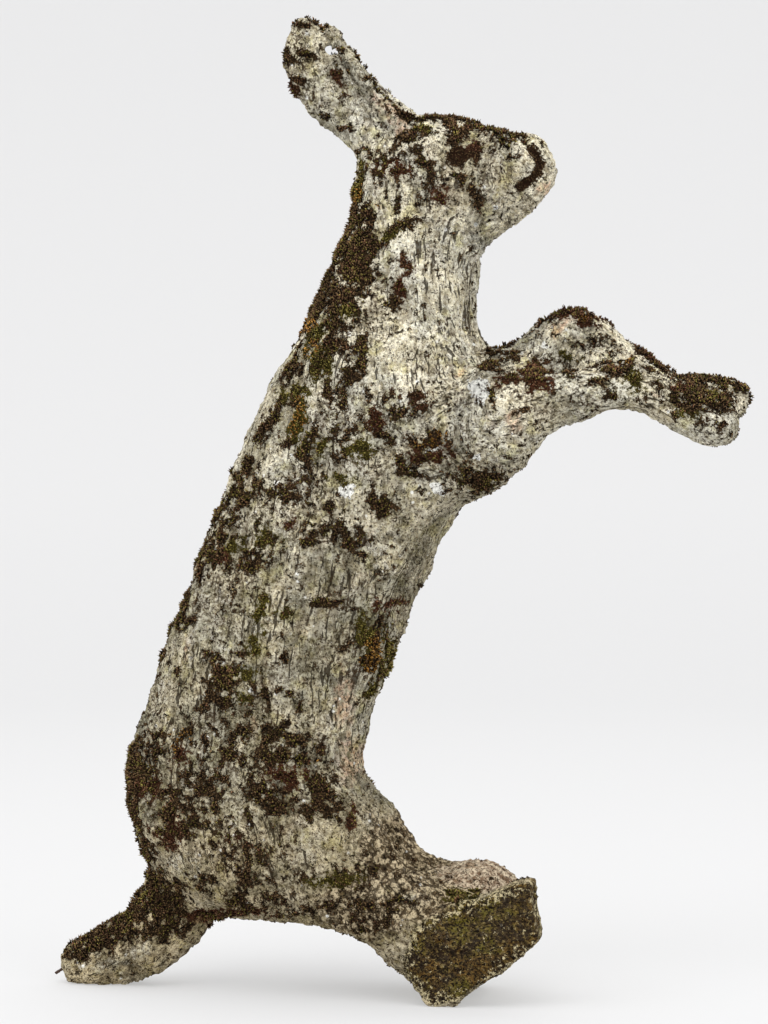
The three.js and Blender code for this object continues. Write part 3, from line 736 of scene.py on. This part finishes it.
def weathered_cement():
    settings = {"Roughness": 0.94, "Specular IOR Level": 0.08}
    material, tree, shader = new_material("weathered_cement", settings)
    place = add(tree, "TexCoord").outputs["Object"]
    fur = attribute(tree, "fur", "Vector")

    def kept(name):
        return attribute(tree, name)

    # Cement of several greys, mottled with pale grains of sand and dark pits
    broad = ramp(grain(place, 24 * MM, 4, 0.6), 0.38, 0.62)
    speckle = grain(place, 2.1 * MM, 2, 0.7)
    blotch = grain(place, 5 * MM, 4, 0.7)
    low_tone = blended(broad, colour(166, 159, 136), colour(206, 197, 172))
    # The upper body's tone: paler cement, partly painted light from above
    top_lit_pale_tone = blended(broad, colour(222, 214, 190), colour(248, 240, 216))
    tone = blended(kept("pale"), low_tone, top_lit_pale_tone)
    cool = ramp(grain(place, 46 * MM, 3, 0.6), 0.46, 0.58)
    tone = lit_by(cool, tone, (0.84, 0.87, 0.93, 1))
    tone = lit_by(kept("earthy"), tone, (1.0, 0.93, 0.82, 1))
    tone = lit_by(ramp(blotch, 0.5, 0.42), tone, (0.74, 0.71, 0.64, 1))
    tone = lit_by(ramp(speckle, 0.55, 0.59), tone, (1.35, 1.35, 1.3, 1))
    open_skin = opposite(times(kept("pale"), 0.3))
    pits = times(ramp(speckle, 0.42, 0.38), open_skin)
    tone = lit_by(pits, tone, (0.34, 0.3, 0.24, 1))

    # Pale lime crusts
    crust = times(kept("crust"), ramp(blotch, 0.4, 0.52))
    clouds = ramp(grain(place, 9 * MM), 0.4, 0.6)
    creams = blended(clouds, colour(224, 216, 186), colour(212, 208, 194))
    creams = lit_by(ramp(speckle, 0.47, 0.38), creams, (0.5, 0.45, 0.38, 1))
    tone = blended(times(crust, 0.7), tone, creams)

    # Yellow-green and rosy tinges
    tinge = ramp(grain(place, 17 * MM, 4, 0.65), 0.52, 0.68)
    tone = lit_by(times(tinge, 0.7), tone, (0.86, 0.84, 0.55, 1))
    rosy = ramp(grain(place, 14 * MM, 4, 0.65), 0.6, 0.74)
    stained = times(kept("pink"), ramp(blotch, 0.38, 0.58))
    rosy = larger_of(times(rosy, 0.3), stained)
    tone = lit_by(rosy, tone, (1.0, 0.77, 0.68, 1))

    # Crumbled cement at the hind feet, with dark gaps between pale crumbs
    links = {"Vector": place, "Scale": 1 / (4.2 * MM)}
    crumbs = add(tree, "TexVoronoi", links, feature="DISTANCE_TO_EDGE")
    gaps = sum_of(crumbs.outputs["Distance"], rest_of(blotch, 0.5))
    gaps = ramp(gaps, 0.16, 0.04)
    crumbly = blended(ramp(blotch, 0.42, 0.58), colour(98, 79, 56), colour(210, 192, 158))
    crumbly = blended(gaps, crumbly, colour(52, 38, 26))
    tone = blended(times(kept("crumbled"), 0.85), tone, crumbly)

    # Long dark cuts of the blade along the fur, dark strands along the fur, and painted shade in the
    # hollows
    strands = grain(stretched(fur, 8 * MM, 1.2 * MM), 1, 2, 0.6)
    cuts = grain(stretched(fur, 24 * MM, 2.5 * MM), 1, 1)
    uncut = times(opposite(kept("cuts")), 0.07)
    marks = ramp(sum_of(cuts, uncut), 0.41, 0.38)
    # Painted shade darkens the cement in the hollows of the relief; dark strands along the fur join it
    hollow_shade_and_strands = ramp(kept("hollow"), 0.1, 0.6)
    hollow_shade_and_strands = larger_of(hollow_shade_and_strands, times(ramp(strands, 0.45, 0.38), 0.8))
    tone = lit_by(times(hollow_shade_and_strands, 0.52), tone, (0.28, 0.24, 0.18, 1))
    tone = blended(times(marks, 0.84), tone, colour(36, 29, 22))

    # White lichen, as small dots and a few larger spots
    dots = add(tree, "TexVoronoi", {"Vector": place, "Scale": 1 / (6 * MM)})
    dots_near = ramp(dots.outputs["Distance"], 0.3, 0.16)
    chosen = add(tree, "SeparateColor", {0: dots.outputs["Color"]}).outputs[0]
    white = times(dots_near, ramp(chosen, 0.9, 0.91))
    spots = ramp(sum_of(kept("white"), rest_of(blotch, 0.5)), 0.22, 0.34)
    white = larger_of(times(white, broad), spots)
    tone = blended(white, tone, colour(255, 254, 246))

    # The broken face of the far hind foot shows rosy sand
    sand = blended(ramp(blotch, 0.4, 0.58), colour(138, 112, 90), colour(222, 204, 178))
    sand = blended(ramp(speckle, 0.44, 0.38), sand, colour(66, 50, 38))
    tone = blended(times(kept("stump"), 0.75), tone, sand)

    # Brown dirt and thin algae around the moss
    clots = ramp(grain(place, 3.2 * MM, 4, 0.75), 0.47, 0.55)
    clots = sum_of(times(clots, 0.72), 0.1)
    whole = opposite(times(kept("crumbled"), 0.6))
    stain = times(times(kept("stain"), clots), whole)
    tone = blended(stain, tone, blended(broad, colour(66, 60, 42), colour(78, 62, 46)))

    # The thin film of moss and algae over the near hind foot's cut face, scraped level
    scrapes = grain(stretched(place, 3.6 * MM, 1.5 * MM), 1, 3, 0.7)
    patchy = ramp(grain(place, 14 * MM, 4, 0.65), 0.42, 0.6)
    greenish = ramp(grain(place, 26 * MM, 3, 0.6), 0.46, 0.56)
    film = blended(patchy, colour(36, 22, 14), colour(94, 70, 33))
    film = blended(times(greenish, patchy), film, colour(88, 80, 28))
    film = blended(times(ramp(scrapes, 0.53, 0.63), 0.7), film, colour(140, 120, 72))
    worn = times(kept("rim"), 0.17)
    specks = ramp(sum_of(blotch, worn), 0.6, 0.66)
    film = blended(times(specks, 0.9), film, colour(204, 190, 150))
    film = blended(ramp(speckle, 0.5, 0.43), film, colour(22, 14, 9))
    tone = blended(times(kept("film"), 0.95), tone, film)

    # The dark mat that the moss grows from
    mat = blended(ramp(blotch, 0.42, 0.6), colour(28, 22, 17), colour(66, 53, 38))
    mat = blended(times(kept("olive"), 0.8), mat, colour(78, 72, 32))
    mat = blended(times(kept("red"), 0.7), mat, colour(82, 50, 35))
    mat = blended(times(kept("dark"), 0.85), mat, colour(50, 34, 25))
    rims = rest_of(sum_of(clots, speckle), 0.85)
    ragged = sum_of(kept("moss"), rims)
    tone = blended(ramp(ragged, 0.4, 0.56), tone, mat)
    tree.links.new(tone, shader.inputs["Base Color"])

    # Sand grains, strands and cuts in the skin
    height = sum_of(times(speckle, 1.2), times(strands, 0.7))
    height = sum_of(height, times(blotch, 1.5))
    height = rest_of(height, marks)
    bump = add(tree, "Bump", {"Height": height, "Distance": 1.6 * MM, "Strength": 1.0})
    tree.links.new(bump.outputs[0], shader.inputs["Normal"])
    return material


stone_mesh, stone_before = weathered_stone()
painted(stone_mesh, stone_before)
new_piece("hare_stone", stone_mesh, weathered_cement(), "hare")

# The moss: short stiff shoots, dry and red-brown to olive, that grow close together in round cushions
# out of the cement. Each shoot is a small closed leaf bud; they are kept as one piece for each region.
SHOOT_SPACING = 1.35 * MM
SHOOT_LENGTH = 3.3 * MM
SHOOT_RADIUS = 0.7 * MM
SHOOT_SIDES = 3
SHOOT_SPREAD = 0.42
SHOOT_RISE = (0, 0, 0.25)
SHOOT_RINGS = [(-0.25, 0.5), (0.5, 1.0)]
TIP_JITTER = 0.3 * MM
# How dark the foot of each shoot is painted: painted shade deep in the cushion
FOOT_PAINTED_SHADE = 0.3
MOST_SHOOTS = 79000
MOSS_REGIONS = {
    "moss_on_feet_and_tail": (4, 120),
    "moss_on_haunches": (120, 250),
    "moss_on_back": (250, 430),
    "moss_on_chest_and_forelegs": (430, 525),
    "moss_on_head_and_ears": (525, 900),
}
SHOOT_COLOURS = {
    "brown": (colour(60, 46, 33), colour(148, 121, 88)),
    "red": (colour(72, 48, 38), colour(144, 107, 82)),
    "olive": (colour(62, 56, 28), colour(142, 132, 74)),
    "orange": (colour(108, 76, 36), colour(186, 142, 78)),
}

# The rarer shoots: number, name, how often they stand anywhere, and how often in patches of their kind
RARER_SHOOTS = [(1, "red", 0.16, 0.6), (2, "olive", 0.26, 0.6), (3, "orange", 0, 0.55)]


def sprouts(mesh, before):
    """Chooses where shoots stand on the stone: their roots, their directions and the growth there."""
    points, normals = vertices_of(mesh)
    mesh.calc_loop_triangles()
    corners = np.empty(len(mesh.loop_triangles) * 3, np.int32)
    mesh.loop_triangles.foreach_get("vertices", corners)
    corners = corners.reshape(-1, 3)
    a, b, c = (points[corners[:, index]] for index in range(3))
    areas = np.linalg.norm(np.cross(b - a, c - a), axis=1) / 2
    draw = np.random.default_rng(7)
    counts = np.floor(areas / SHOOT_SPACING**2 + draw.random(len(areas))).astype(int)
    chosen = np.repeat(np.arange(len(corners)), counts)
    first, second = draw.random((2, len(chosen)))
    over = first + second > 1
    first[over], second[over] = 1 - first[over], 1 - second[over]
    share = np.column_stack([1 - first - second, first, second])[:, :, None]
    places = (before[corners[chosen]] * share).sum(axis=1)
    grown = growth(places, combed(places))
    kept = np.flatnonzero(draw.random(len(chosen)) < rise(grown["moss"], 0.1, 0.85))
    kept = np.sort(draw.permutation(kept)[:MOST_SHOOTS])
    roots = (points[corners[chosen[kept]]] * share[kept]).sum(axis=1)
    facing = (normals[corners[chosen[kept]]] * share[kept]).sum(axis=1)
    facing += draw.normal(0, SHOOT_SPREAD, (len(kept), 3)) + SHOOT_RISE
    facing /= np.linalg.norm(facing, axis=1)[:, None]
    return roots, facing, {name: values[kept] for name, values in grown.items()}, draw


def shoot_mesh(name, roots, facing, lengths, widths, tints, draw):
    """Many small buds as one mesh: a narrow foot, a wider middle and a point."""
    count = len(roots)
    helper = np.where(np.abs(facing[:, 2:]) < 0.8, (0.0, 0.0, 1.0), (1.0, 0.0, 0.0))
    first = np.cross(facing, helper)
    first /= np.linalg.norm(first, axis=1)[:, None]
    second = np.cross(facing, first)
    turn = draw.random(count) * 2 * math.pi
    rings = []
    for height, width in SHOOT_RINGS:
        for side in range(SHOOT_SIDES):
            angle = (turn + 2 * math.pi * (side + height) / SHOOT_SIDES)[:, None]
            out = np.cos(angle) * first + np.sin(angle) * second
            rings.append(roots + facing * (height * lengths)[:, None] + out * (width * widths)[:, None])
    rings.append(roots + facing * lengths[:, None] + draw.normal(0, TIP_JITTER, (count, 3)))
    points = np.stack(rings, axis=1).reshape(-1, 3)
    tip = 2 * SHOOT_SIDES
    faces = [(2, 1, 0)]
    for side in range(SHOOT_SIDES):
        beside = (side + 1) % SHOOT_SIDES
        faces += [(side, beside, SHOOT_SIDES + beside), (side, SHOOT_SIDES + beside, SHOOT_SIDES + side)]
        faces.append((SHOOT_SIDES + side, SHOOT_SIDES + beside, tip))
    pattern = np.array(faces)
    corners = (pattern[None] + (np.arange(count) * (tip + 1))[:, None, None]).reshape(-1)
    mesh = bpy.data.meshes.new(name)
    mesh.vertices.add(len(points))
    mesh.vertices.foreach_set("co", points.astype(np.float32).ravel())
    mesh.loops.add(len(corners))
    mesh.loops.foreach_set("vertex_index", corners.astype(np.int32))
    mesh.polygons.add(len(corners) // 3)
    mesh.polygons.foreach_set("loop_start", np.arange(0, len(corners), 3, dtype=np.int32))
    mesh.update(calc_edges=True)
    shades = np.ones((count, tip + 1, 4))
    foot, end = tints
    # Painted shade: the foot ring of each shoot is darkened, as deep between the shoots of a cushion
    shades[:, :SHOOT_SIDES, :3] = FOOT_PAINTED_SHADE * foot[:, None, :3]
    shades[:, SHOOT_SIDES:tip, :3] = foot[:, None, :3]
    shades[:, tip, :3] = end[:, :3]
    layer = mesh.color_attributes.new("shade", "FLOAT_COLOR", "POINT")
    layer.data.foreach_set("color", shades.astype(np.float32).ravel())
    own_squares(mesh, pattern, count)
    return mesh


def own_squares(mesh, pattern, count):
    """A flat map for baking in which each shoot has a small square of its own."""
    across = math.ceil(math.sqrt(count))
    square = np.arange(count)
    corner = np.column_stack([square % across, square // across]) / across
    places = [(0.1, 0.1), (0.5, 0.1), (0.9, 0.1), (0.1, 0.55), (0.5, 0.55), (0.9, 0.55), (0.5, 0.9)]
    places = np.array(places)
    flat = corner[:, None] + places[pattern.reshape(-1)][None] / across
    layer = mesh.uv_layers.new(name="OFBake")
    layer.data.foreach_set("uv", flat.astype(np.float32).ravel())


def moss_leaf():
    settings = {"Roughness": 0.85, "Specular IOR Level": 0.06}
    material, tree, shader = new_material("dry_moss", settings)
    shade = attribute(tree, "shade", "Color")
    place = add(tree, "TexCoord").outputs["Object"]
    mottle = ramp(grain(place, 3 * MM, 3, 0.6), 0.3, 0.7)
    darker = lit_by(0.75, shade, (0.55, 0.5, 0.45, 1))
    tree.links.new(blended(mottle, darker, shade), shader.inputs["Base Color"])
    return material


def grow_moss(mesh, before):
    roots, facing, grown, draw = sprouts(mesh, before)
    count = len(roots)
    _, cushion = cells_of(roots, CUSHION_SIZE, 41)
    lengths = SHOOT_LENGTH * (0.3 + (0.5 + 0.35 * cushion) * grown["deep"])
    lengths *= draw.uniform(0.6, 1.25, count)
    widths = SHOOT_RADIUS * draw.uniform(0.7, 1.3, count)
    kind = np.zeros(count, int)
    for number, name, least, most in RARER_SHOOTS:
        chance = least * grown["deep"] * (1 + waves(roots, 12 * MM, 70 + number)) + most * grown[name]
        kind = np.where(draw.random(count) < chance, number, kind)
    kind = np.where(grown["dark"] > 0.5, grown["red"] > 0.5, kind)
    brightness = draw.uniform(0.25, 1.5, count) * (1 + 0.5 * waves(roots, 7 * MM, 75))
    brightness *= (1 + 0.4 * waves(roots, 3 * MM, 76)) * (1 - 0.4 * grown["dark"] * (1 - grown["red"]))
    brightness *= np.where(kind > 1, 1.45, 1.0)
    colours = np.array(list(SHOOT_COLOURS.values()))
    tints = [colours[kind, end] * brightness[:, None] for end in (0, 1)]
    material = moss_leaf()
    for name, (low, high) in MOSS_REGIONS.items():
        here = (roots[:, 2] >= low * MM) & (roots[:, 2] < high * MM)
        tint = [ends[here] for ends in tints]
        tufts = shoot_mesh(name, roots[here], facing[here], lengths[here], widths[here], tint, draw)
        new_piece(name, tufts, material, "hare")


grow_moss(stone_mesh, stone_before)

# The studio: a pale floor that rises into a round pale wall far behind and glows faintly, as painted
# light that lifts the shadows under the statue, and large soft lights in front, from above and from both
# sides.
FLOOR_RADIUS = 3.2
WALL_BEND = 1.6
WALL_HEIGHT = 2.6
ROUND_STEPS = 96
BEND_STEPS = 16
FLOOR_TONE = (0.355, 0.355, 0.358, 1)
WALL_TONE = (0.378, 0.378, 0.381, 1)
# How strongly the floor glows: painted light that lifts the shadows under the statue
GLOW = 0.385
WALL_TONE_FROM = 0.5
LIT_PLACE = (0, 0, 0.4)

# Lights by name, place, size and power
LIGHTS = [
    ("top_light", (-0.3, -1.4, 2.4), 1.6, 14),
    ("left_light", (-2.0, -1.9, 1.5), 1.6, 15),
    ("right_light", (2.1, -1.5, 1.4), 1.6, 16),
]
SKY_STRENGTH = 1.38


def studio_floor():
    profile = [(0, 0), (FLOOR_RADIUS, 0)]
    for step in range(1, BEND_STEPS + 1):
        angle = math.pi / 2 * step / BEND_STEPS
        profile.append((FLOOR_RADIUS + WALL_BEND * math.sin(angle), WALL_BEND * (1 - math.cos(angle))))
    profile.append((FLOOR_RADIUS + WALL_BEND, WALL_HEIGHT))
    points = [(0, 0, 0)]
    faces = []
    for ring, (radius, height) in enumerate(profile[1:]):
        for step in range(ROUND_STEPS):
            angle = 2 * math.pi * step / ROUND_STEPS
            points.append((radius * math.cos(angle), radius * math.sin(angle), height))
            beside = (step + 1) % ROUND_STEPS
            first = 1 + ring * ROUND_STEPS
            if ring == 0:
                faces.append((0, first + step, first + beside))
            else:
                inner = first - ROUND_STEPS
                faces.append((inner + step, first + step, first + beside, inner + beside))
    mesh = bpy.data.meshes.new("floor")
    mesh.from_pydata(points, [], faces)
    mesh.shade_smooth()
    # Painted light: the floor's faint glow lifts the shadows under the statue
    settings = {"Roughness": 0.95, "Emission Color": (1, 1, 1, 1), "Emission Strength": GLOW}
    material, tree, shader = new_material("glowing_pale_paper", settings)
    place = add(tree, "TexCoord").outputs["Object"]
    above = ramp(add(tree, "SeparateXYZ", {0: place}).outputs["Z"], 0.0, WALL_TONE_FROM)
    tree.links.new(blended(above, FLOOR_TONE, WALL_TONE), shader.inputs["Base Color"])
    mesh.materials.append(material)
    floor = bpy.data.objects.new("floor", mesh)
    bpy.context.collection.objects.link(floor)


def soft_light(name, place, size, power):
    """A square panel of light that faces the middle of the statue."""
    lamp = bpy.data.lights.new(name, "AREA")
    lamp.size = size
    lamp.energy = power
    light = bpy.data.objects.new(name, lamp)
    light.location = place
    bpy.context.collection.objects.link(light)
    away = np.array(LIT_PLACE) - place
    level = math.hypot(away[0], away[1])
    light.rotation_euler = (math.pi / 2 + math.atan2(away[2], level), 0, math.atan2(-away[0], away[1]))


studio_floor()
for light_settings in LIGHTS:
    soft_light(*light_settings)
world = bpy.data.worlds.new("studio")
world.use_nodes = True
world.node_tree.nodes["Background"].inputs["Color"].default_value = (1, 1, 1, 1)
world.node_tree.nodes["Background"].inputs["Strength"].default_value = SKY_STRENGTH
bpy.context.scene.world = world
bpy.context.scene.view_settings.view_transform = "Standard"
